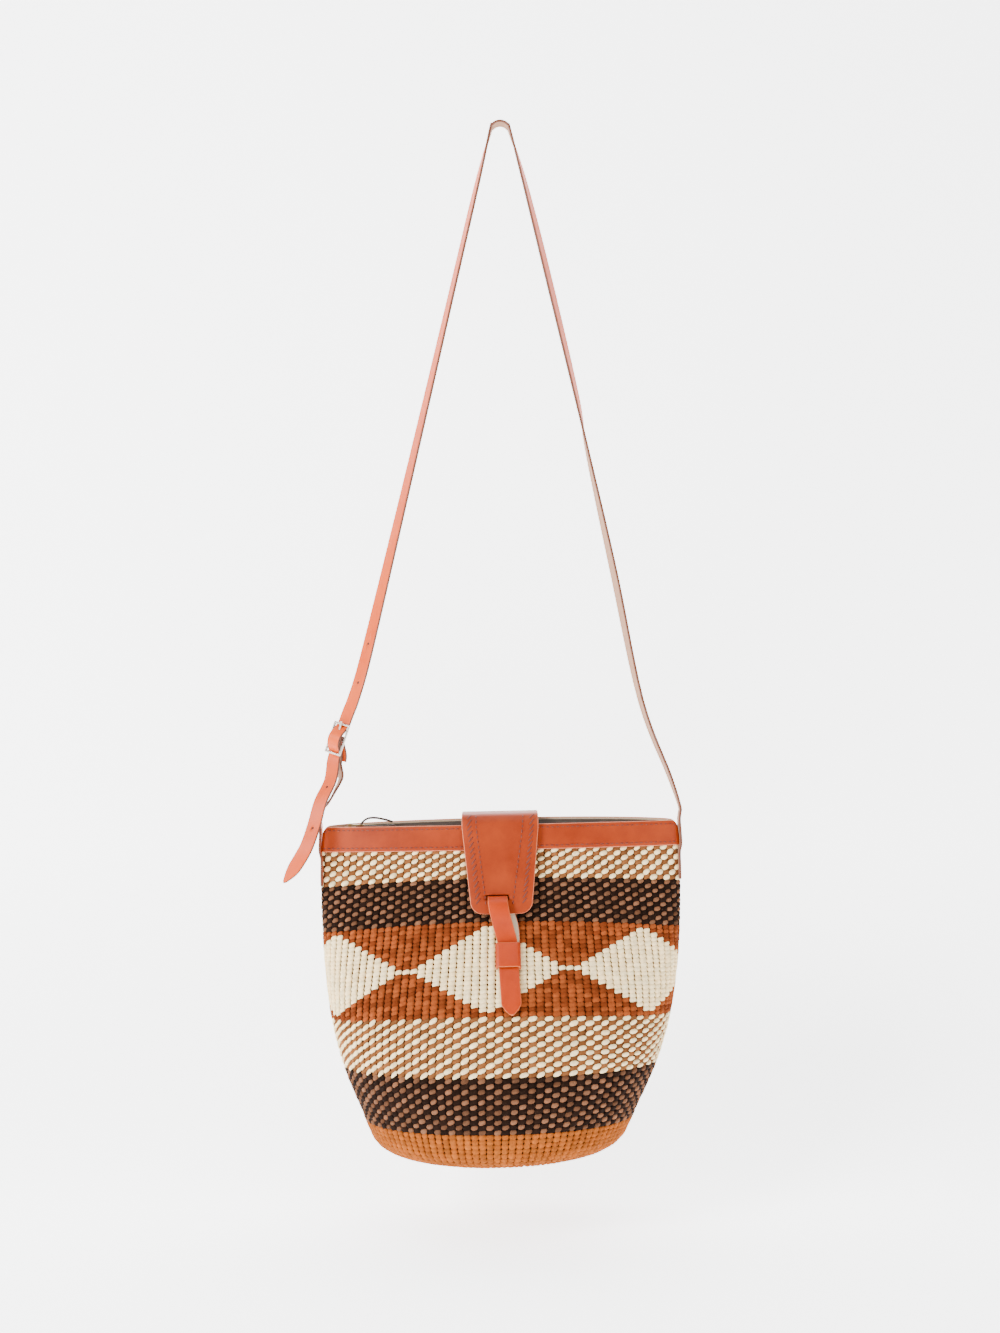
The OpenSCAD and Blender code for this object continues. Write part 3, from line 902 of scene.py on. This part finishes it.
# Two columns of stitches down each side of the flap: slanted strokes outside, short dashes inside
def flapStitches():
    rows = flapRows()
    run = np.concatenate([[0], np.cumsum(np.linalg.norm(np.diff(rows[:, :2], axis=0), axis=1))])
    total = run[-1]
    start = run[np.argmax(rows[:, 0] < -17)]
    tangent = unit(np.gradient(rows[:, :2], axis=0))
    columns = (("Left", -1, (6.6, 7.2), (12.6, 13.4)), ("Right", 1, (5.6, 7.4), (13.4, 17.4)))
    for name, side, outerIn, innerIn in columns:
        for kind in ("outer", "inner"):
            pitch = 4.9 if kind == "outer" else 4.4
            at = np.arange(start + 2, total - 9, pitch)
            share = (at - start) / (total - start)
            near = outerIn if kind == "outer" else innerIn
            half = np.interp(at, run, rows[:, 2])
            x = side * (half - (near[0] + (near[1] - near[0]) * share))
            p = np.stack([x, np.interp(at, run, rows[:, 0]), np.interp(at, run, rows[:, 1])], 1)
            t2 = unit(np.stack([np.interp(at, run, tangent[:, 0]), np.interp(at, run, tangent[:, 1])], 1))
            down = np.stack([np.zeros(len(at)), t2[:, 0], t2[:, 1]], 1)
            out = np.stack([np.zeros(len(at)), t2[:, 1], -t2[:, 0]], 1)
            right = np.array([1.0, 0, 0])
            if kind == "outer":
                along = right * 0.62 - down * 0.78
                grow = (3.7, 0.7, 0.5)
            else:
                along = right * 0.12 - down * 0.99
                grow = (1.6, 0.62, 0.5)
            world = fromBag(p + out * (flap["thick"] / 2 + 0.1))
            facing = fromBag(p + out * (flap["thick"] / 2 + 1.1)) - world
            turned = fromBag(p + out * (flap["thick"] / 2 + 0.1) + along) - world
            label = "flapThread" + name + kind.capitalize()
            obj = scatter(label, world, turned, facing, np.array(grow) / 1000,
                          darkThread, threadStitch, None, 0.1, 0.05, 23)
            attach(obj, "flap")


buildFlap()
flapStitches()
print("flap made")


# tuck strap and keeper

tuck = {
    "width": 17,
    "thick": 1.9,
    "path": [[4.7, -60.4, -123], [5.2, -54.2, -111], [6.4, -48.3, -100], [5.6, -41.8, -85], [1.2, -37.4, -73],
             [-3.2, -35.4, -65], [-3.4, -37, -61.6], [-3.4, -40.5, -60.8], [-3.4, -44.5, -61.5],
             [-3, -47.8, -66], [-1.4, -49.2, -75], [1.6, -49.4, -87], [4.4, -50.9, -99], [4.9, -56.8, -111],
             [5.2, -63, -122], [5.8, -69.4, -134], [6.4, -75, -145]],
    "tip": [[6.5, -75.9, -147], [6.7, -77.4, -150.5], [6.8, -78.6, -153.2], [6.9, -79.4, -154.8]],
    "tipHalf": [8.1, 5.6, 3.0, 1.2],
}


def buildTuck():
    rows = smoothPath(tuck["path"], 4)
    half = [tuck["width"] / 2] * len(rows) + tuck["tipHalf"]
    rows = np.vstack([rows, tuck["tip"]])
    obj = ribbon("tuckStrap", fromBag(rows) * 1000, fromBag([[1, 0, 0]])[0] - fromBag([[0, 0, 0]])[0],
                 half, tuck["thick"], 1)
    obj.data.materials.append(tuckLeather)
    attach(obj, "bag")
    tuple(fromBag([4.7, -52.5, -111]))
    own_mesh(obj)
    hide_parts("closure_strap")
    return obj


def buildKeeper():
    wide, tall, t = 21.4, 22.0, 1.8
    x = wide / 2 - t / 2
    front = -8.4 + t / 2
    back = -0.4
    path = [(-x, back), (-x, -3), (-x, front + 2.4), (-x + 0.7, front + 0.7), (-x + 2.4, front),
            (0, front - 0.05), (x - 2.4, front), (x - 0.7, front + 0.7), (x, front + 2.4), (x, -3), (x, back)]
    path = smoothPath(path, 3)
    turn = math.radians(-29)
    c, s = math.cos(turn), math.sin(turn)
    centre = np.array([4.7, -52, -111])
    rows = np.array([[p[0], p[1] * c, p[1] * s] for p in path]) + centre
    up = fromBag([[0, -s, c]])[0] - fromBag([[0, 0, 0]])[0]
    obj = ribbon("keeperLoop", fromBag(rows) * 1000, up, tall / 2, t, 1)
    obj.data.materials.append(tuckLeather)
    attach(obj, "bag")
    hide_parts("closure_keeper")
    return obj


buildTuck()
buildKeeper()
print("tuck strap made")


# shoulder strap and buckle chape

strap = {
    "width": 12.7,
    "thick": 2.2,
    "chape": 2.0,
    "sideOff": 0.2 + 2 + 0.2 + 1.1,
    "swing": 6,
    "tab": 52,
    "buckleAt": [-144.7, 0, -557.8],
    "lean": math.radians(18),
    "turn": math.radians(-28),
    "right": [[150.2, -590, 8], [125.5, -524, 13], [102, -410, 20], [78.5, -300, 4], [69, -250, -20],
              [43, -138, -28], [22, -52, -20]],
    "left": [[-21.5, -58, 20], [-47.5, -172, 26], [-73.5, -286, 34], [-97, -388, 44], [-120, -486, 56],
             [-129.6, -520, 60]],
    "tail": [[-150, -6, -595, 66], [-157.6, -13, -613, 70], [-162.4, -19, -633, 74], [-168.6, -26, -653, 76],
             [-179, -27, -671, 76]],
    "holes": [(-509, -150, -60), (-471, -150, -60), (-602, -200, -148), (-637, -200, -148)],
    "through": [[0.8, 2.3, 24], [0, 2.6, 13.4], [0, -0.6, 8.2], [0, -4.2, 3], [0, -4.9, -1], [0, -3.4, -5.6],
                [0, 0.9, -10.2], [0.6, 2.9, -13.4], [1.4, 3, -20]],
}


def turned(v):
    c, s = math.cos(strap["turn"]), math.sin(strap["turn"])
    d, e = math.cos(strap["lean"]), math.sin(strap["lean"])
    x, y = v[0] * c - v[1] * s, v[0] * s + v[1] * c
    return np.array([x * d + v[2] * e, y, -x * e + v[2] * d])


def onBuckle(x, y, z):
    return list(np.array(strap["buckleAt"]) + turned([x, y, z])) + list(turned([-1, 0, 0]))


def facing(angle):
    a = math.radians(angle)
    return [-math.sin(a), math.cos(a), 0]


# The end sewn down one side of the basket, from its foot up to just past the swing axis
def sideRows(side):
    off = strap["sideOff"]
    rows = []
    offsets = ((-strap["tab"], -0.2), (-40, -0.1), (-28, 0.4), (-21, 2.2), (-11, 2.6), (0, 2.8),
               (strap["swing"], off))
    for z, o in offsets:
        a = halfSizes(max(0, -z))[0]
        lean = -basket["sag"] * (max(-z, 0) / basket["height"]) ** 2
        p = fromBag([side * (a + o) + lean, 0, z]) * 1000
        rows.append(list(p) + [0, 1, 0])
    top = fromBag([side * (156 + off), 0, strap["swing"] + strap["width"] / 2 + 0.6]) * 1000
    rows.append(list(top) + [0, 1, 0])
    return rows


def strapRows():
    rows = sideRows(1)
    rows += [[q[0], 0, q[1]] + facing(q[2]) for q in strap["right"]]
    r = 8 + strap["thick"] / 2
    for a in range(12, 169, 26):
        q = math.radians(a)
        rows.append([r * math.cos(q), 0, r * math.sin(q) - 8] + facing(0))
    rows += [[q[0], 0, q[1]] + facing(q[2]) for q in strap["left"]]
    rows += [onBuckle(*q) for q in strap["through"]]
    rows += [[q[0], q[1], q[2]] + facing(q[3]) for q in strap["tail"]]
    return rows


def holeCutter(name, centre, way, radius=1.15, reach=5):
    side = unit(np.cross(way, [0.3, 0.2, 0.9]))
    up = np.cross(way, side)
    rings = []
    for d in (-reach, reach):
        middle = np.array(centre) + way * d
        rings.append([(middle + side * radius * math.cos(q) + up * radius * math.sin(q)) / 1000
                      for q in np.linspace(0, 2 * math.pi, 13)[:-1]])
    return closedRings(name, rings)


# A dark disc inside each strap hole, in the thong's dark edge colour: painted shade for the depth of the hole
def holeShadePlug(name, centre, way):
    obj = holeCutter(name, centre, unit(way), 1.12, 0.85)
    obj.data.materials.append(thongLeather)
    addFloat(obj, "cut", [1] * len(obj.data.vertices))
    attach(obj, "strap")


def buildStrap():
    rows = smoothPath(strapRows(), 6)
    tail = np.array(strap["tail"][-1][:3], float)
    down = unit([-0.58, 0, -0.81])
    tips = [(2.5, 0.86), (5.5, 0.74), (8.5, 0.58), (11.5, 0.4), (13.6, 0.25), (15, 0.1)]
    end = np.array([list(tail + down * d) + facing(76) for d, _ in tips])
    taper = [1, 0.99, 0.98, 0.96, 0.93]
    half = [strap["width"] / 2 * f for f in [1] * (len(rows) - 5) + taper + [f for _, f in tips]]
    rows = np.vstack([rows, end])
    obj = ribbon("shoulderStrapLeather", rows[:, :3], rows[:, 3:], half, strap["thick"], -1)
    along = unit(np.gradient(rows[:, :3], axis=0))
    # the holes above the buckle and in the tail, by height, on the strap's own centre line
    for k, (z, left, right) in enumerate(strap["holes"]):
        inside = (rows[:, 0] > left) & (rows[:, 0] < right)
        near = np.argmin(np.abs(rows[:, 2] - z) + np.where(inside, 0, 1000))
        way = unit(np.cross(along[near], rows[near, 3:]))
        cutAway(obj, holeCutter("hole%d" % k, rows[near, :3], way))
        # each hole also gets a dark disc of painted shade
        holeShadePlug("holeDark%d" % k, rows[near, :3], way)
    obj.data.materials.append(strapLeather)
    tuple(fromBag([159.5, 0, 15]))
    tuple(fromBag([159.5, 0, -2]))
    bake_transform(obj)
    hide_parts("shoulder_strap", "strap_end")
    return obj


def buildChape():
    r = 1.1 + 0.15 + strap["chape"] / 2
    rows = [onBuckle(3.5, 10.4, -18), onBuckle(3.4, 9, -13.4), onBuckle(2, 6.7, -8.4),
            onBuckle(0.5, 3.7, -3.6)]
    for a in range(0, 181, 30):
        rows.append(onBuckle(0, r * math.cos(math.radians(a)), r * math.sin(math.radians(a))))
    rows += [onBuckle(0, -1.1, -4.2), onBuckle(0, 3.1, -8.6), onBuckle(1, 6.4, -15), onBuckle(2.2, 7.8, -22)]
    rows += [[-141.8, 4.5, -592] + facing(22), [-146.6, 3, -604] + facing(10), [-152.6, 1, -615] + facing(3)]
    rows += sideRows(-1)[::-1]
    rows = smoothPath(rows, 5)
    obj = ribbon("chapeLeather", rows[:, :3], rows[:, 3:], strap["width"] / 2, strap["chape"], 1)
    obj.data.materials.append(strapLeather)
    tuple(fromBag([-159.5, 0, 15]))
    tuple(fromBag([-159.5, 0, -2]))
    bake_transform(obj)
    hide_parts("buckle_chape", "chape_end")
    return obj


buildStrap()
buildChape()
print("straps made")


# zip

zipper = {"length": 280, "pitch": 2.0, "tapeZ": -2.9, "sliderX": -133, "slope": 0.025}


def squashZip(obj, side):
    n = unit(np.array([zipper["slope"], side, 0.0]))
    way = fromBag(n) - fromBag([0, 0, 0])
    tuple(fromBag([140, 0, -2.9]))
    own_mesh(obj)


def zipSide(name, side, node, teethNode):
    a = np.linspace(19, 161, 81) * side
    wall = sectionAt(np.zeros(81), np.radians(a), np.full(81, 0.1))[0]
    inner = 3.05
    share = 0.5
    edge = np.abs(wall[:, 1])
    middle = inner + (edge - inner) * share
    # outer half of the tape stays with the band; the half beside the teeth sits a little lower
    for part, y0, y1 in (("Outer", middle - 0.8, edge), ("Inner", np.full(81, inner - 0.3), middle)):
        z = zipper["tapeZ"] - (0.25 if part == "Inner" else 0) + np.zeros(81)
        # the back tape slopes up to the higher back band
        rise = 5.2 if side > 0 else 1.6
        climb = rise * np.abs(np.sin(np.radians(a))) ** 0.7 if part == "Outer" else np.zeros(81)
        first = np.stack([wall[:, 0], side * y0, z + climb * 0.15], 1)
        second = np.stack([wall[:, 0], side * y1, z + climb], 1)
        obj = ribbon(name + part, fromBag((first + second) / 2) * 1000, fromBag(second) - fromBag(first),
                     np.maximum(np.abs(y1 - y0) / 2, 0.4), 0.7, 1)
        obj.data.materials.append(tapeCloth)
        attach(obj, "bag")
        if part == "Inner":
            squashZip(obj, side)
        else:
            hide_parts(node)
    count = int(zipper["length"] / zipper["pitch"])
    x = (np.arange(count) + 0.5 + 0.25 * side) * zipper["pitch"] - zipper["length"] / 2
    x = x[np.abs(x) < zipper["length"] / 2 - 0.9]
    points = np.stack([x, np.full(len(x), side * 1.75), np.full(len(x), -2.9)], 1)
    world = fromBag(points)
    across = fromBag(points + [0, side, 0]) - world
    up = fromBag(points + [0, 0, 1]) - world
    teeth = scatter(name + "Teeth", world, across, up, (0.00135, 0.00082, 0.0012), darkTeeth, threadStitch,
                    None, 0.02, 0.0, 3)
    cord = np.stack([np.linspace(-139.5, 139.5, 60), np.full(60, side * 2.6), np.full(60, -2.9)], 1)
    bead = ribbon(name + "Cord", fromBag(cord) * 1000, fromBag([0, 1, 0]) - fromBag([0, 0, 0]), 0.75, 1.9, 1)
    bead.data.materials.append(tapeCloth)
    for obj in (teeth, bead):
        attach(obj, "bag")
        squashZip(obj, side)
    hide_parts(teethNode)


zipSide("zipFront", -1, "zip_tape_front", "zip_teeth_front")
zipSide("zipBack", 1, "zip_tape_back", "zip_teeth_back")


def buildThong():
    path = smoothPath([[38, 3.4], [31, 5.6], [23, 7.2], [16.5, 7], [11.8, 4.4], [9.6, 0.9],
                       [10.3, -0.1], [13, -0.6], [20, -0.5], [29, -0.3], [40, -0.1]], 5)
    rows = np.stack([path[:, 0] + zipper["sliderX"], np.zeros(len(path)), path[:, 1]], 1)
    obj = ribbon("pullThong", fromBag(rows) * 1000, (0, 1, 0), 1.4, 1.9, 1)
    obj.data.materials.append(thongLeather)
    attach(obj, "pull")
    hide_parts("zip_pull_thong")


buildThong()
print("zip made")

for node, material in (("zip_slider", brass), ("zip_stop_left", brass), ("zip_stop_right", brass),
                       ("zip_pull_tab", brass), ("buckle_frame", nickel), ("buckle_prong", nickel)):
    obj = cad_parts[node]
    obj.data.materials.clear()
    obj.data.materials.append(material)


# stage, light and camera

def buildStage():
    profile = [(-2.6, -0.98)]
    for k in range(0, 11):
        q = math.radians(90 * k / 10)
        profile.append((0.05 + 0.3 * math.sin(q), -0.98 + 0.3 * (1 - math.cos(q))))
    profile.append((0.35, 1.6))
    points, faces = [], []
    for x in (-3.2, 3.2):
        points += [(x, y, z) for y, z in profile]
    n = len(profile)
    for i in range(n - 1):
        faces.append((i, n + i, n + i + 1, i + 1))
    obj = meshObject("backdrop", points, faces)
    material, shader, here = newMaterial("backdropPaper", 0.95)
    paper = (here.noise(3.0, 2.0) * 0.6 + 0.2).clamp()
    paper.mix(rgb(250, 250, 250), rgb(244, 246, 247)).into(shader, "Base Color")
    shader.inputs["Emission Color"].default_value = (1, 1, 1, 1)
    shader.inputs["Emission Strength"].default_value = 2.6
    obj.data.materials.append(material)


def areaLight(name, place, size, power):
    data = bpy.data.lights.new(name, "AREA")
    data.shape = "DISK"
    data.size = size
    data.energy = power
    obj = bpy.data.objects.new(name, data)
    bpy.context.scene.collection.objects.link(obj)
    return obj


def lookAt(obj, place, aim):
    obj.location = place
    way = Vector(aim) - Vector(place)
    obj.rotation_euler = way.to_track_quat("-Z", "Y").to_euler()


buildStage()
lights = {
    "key": {"at": (-1.5, -1.35, 0.35), "size": 0.8, "power": 84},
    "fill": {"at": (1.5, -1.7, -0.1), "size": 1.6, "power": 12},
    "top": {"at": (0.2, -1.0, 1.3), "size": 1.4, "power": 24},
}
for name, light in lights.items():
    lamp = areaLight(name, light["at"], light["size"], light["power"])
    lookAt(lamp, light["at"], (0, 0, -0.6))
world = bpy.data.worlds.new("studio")
world.use_nodes = True
world.node_tree.nodes["Background"].inputs["Color"].default_value = (1, 1, 1, 1)
world.node_tree.nodes["Background"].inputs["Strength"].default_value = 0.24
bpy.context.scene.world = world

cameraData = bpy.data.cameras.new("camera")
cameraData.lens = 40.24
cameraData.sensor_width = 36
camera = bpy.data.objects.new("camera", cameraData)
bpy.context.scene.collection.objects.link(camera)
camera.location = (0, -1.3273, -0.5632)
camera.rotation_euler = (math.radians(93), 0, 0)
bpy.context.scene.camera = camera

print("scene finished")
